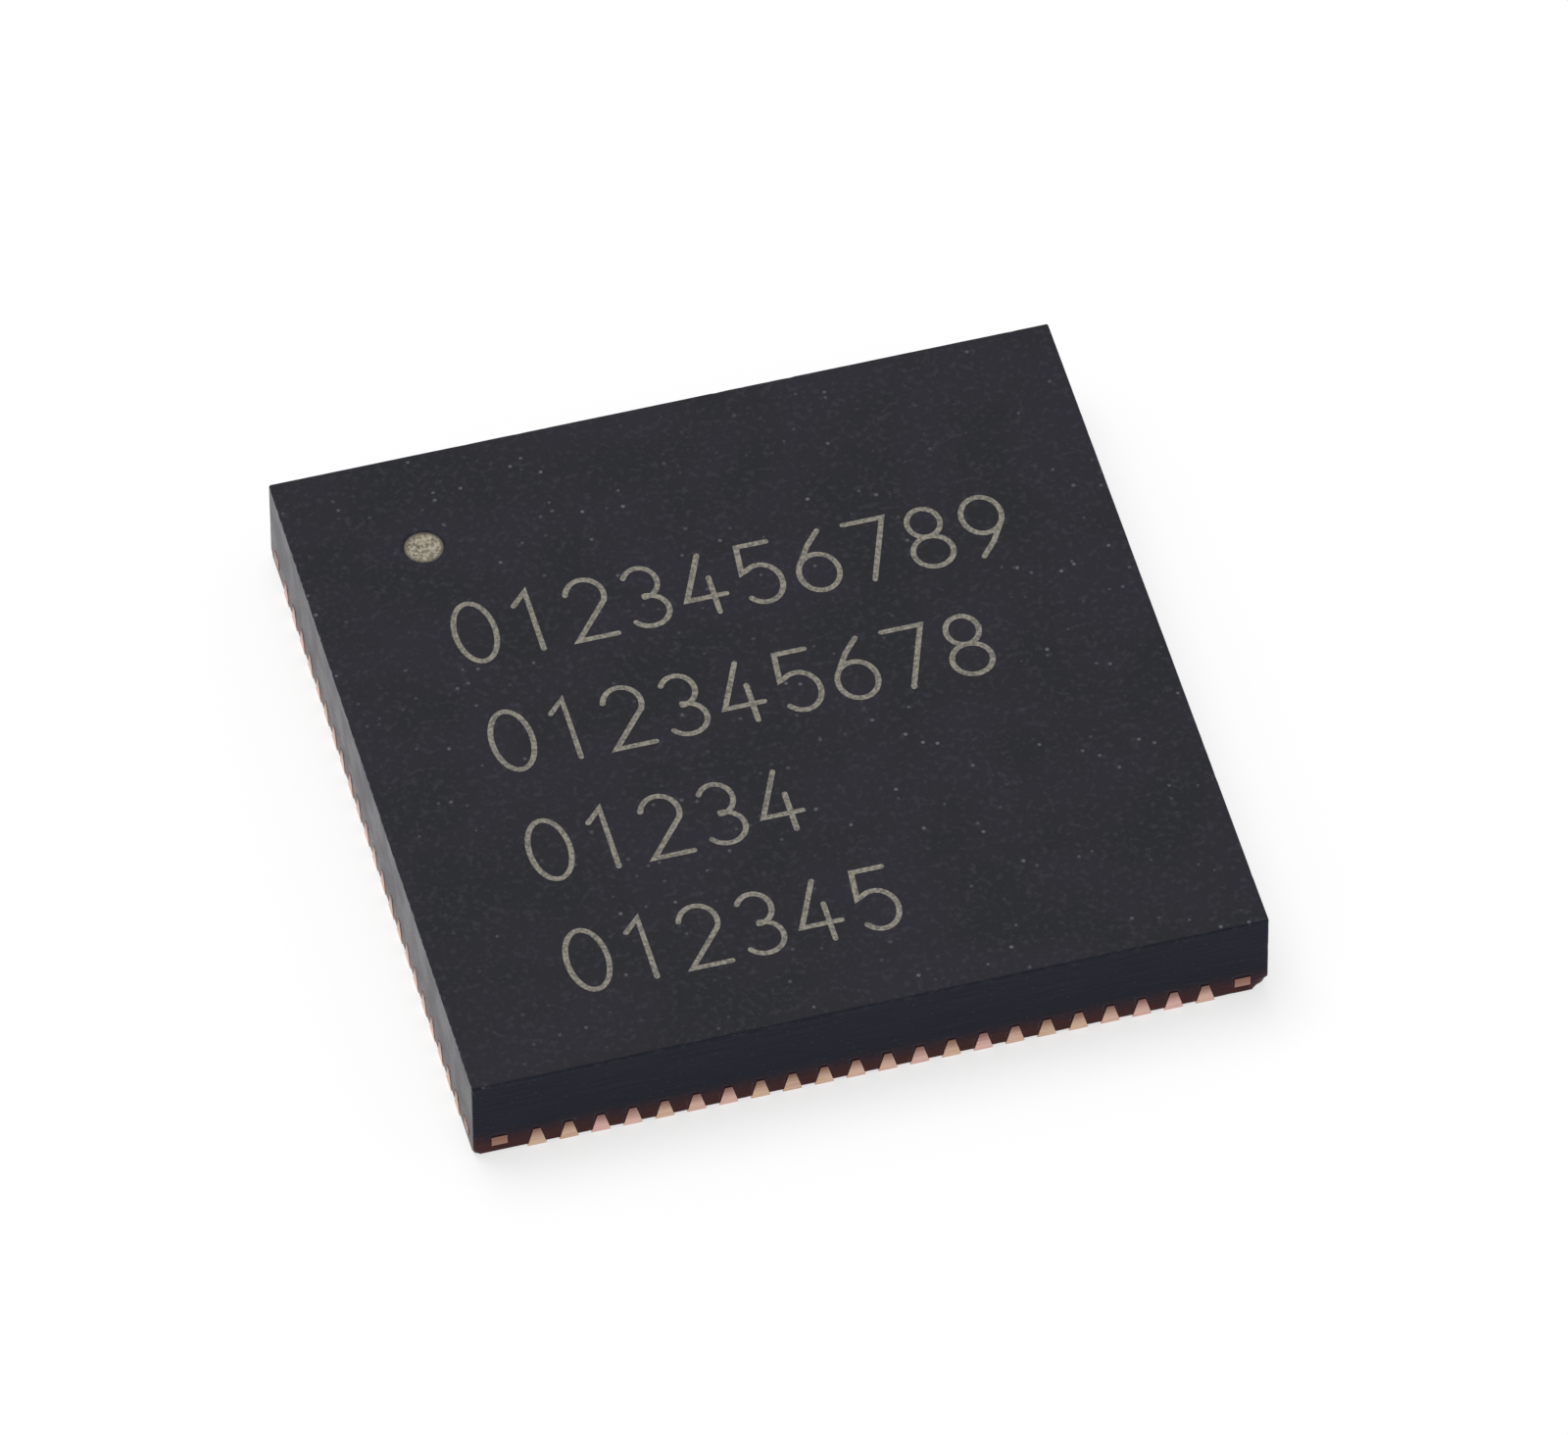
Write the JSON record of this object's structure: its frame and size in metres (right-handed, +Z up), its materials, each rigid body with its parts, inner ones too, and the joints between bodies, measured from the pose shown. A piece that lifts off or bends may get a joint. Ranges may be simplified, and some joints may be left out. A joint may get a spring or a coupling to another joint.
{
  "type": "fpga chip",
  "caption": "Square flat no-lead integrated circuit package with copper lead ends flush in its sawn sides and an exposed thermal pad underneath.",
  "frame": {"origin": "centre of the seating plane: under the middle of the body, level with the undersides of the leads and of the thermal pad", "axes": "+Z up out of the top face, +X along the front edge, +Y towards the back; the pin-1 mark is at the corner towards -X and +Y, and pins count anticlockwise seen from above, down the left side first"},
  "size_m": [0.01, 0.01, 0.0013],
  "materials": {
    "mould_compound": "charcoal filled epoxy moulding compound, fine matt top, sawn sides",
    "lead_frame_copper": "copper alloy, bare and finely streaked where sawn, matt tin plated underneath",
    "die_attach": "silver filled epoxy and bonding film",
    "silicon": "polished silicon with fine circuit pattern",
    "bond_wire": "bright gold wire"
  },
  "bodies": {
    "root": {"mould_body": "mould_compound", "die_paddle": "lead_frame_copper", "leads_front": "lead_frame_copper", "leads_right": "lead_frame_copper", "leads_back": "lead_frame_copper", "leads_left": "lead_frame_copper", "logic_die_epoxy": "die_attach", "logic_die": "silicon", "memory_die_film": "die_attach", "memory_die": "silicon", "signal_wires_front": "bond_wire", "signal_wires_right": "bond_wire", "signal_wires_back": "bond_wire", "signal_wires_left": "bond_wire", "ground_wires": "bond_wire", "memory_wires": "bond_wire"}
  },
  "joints": []
}
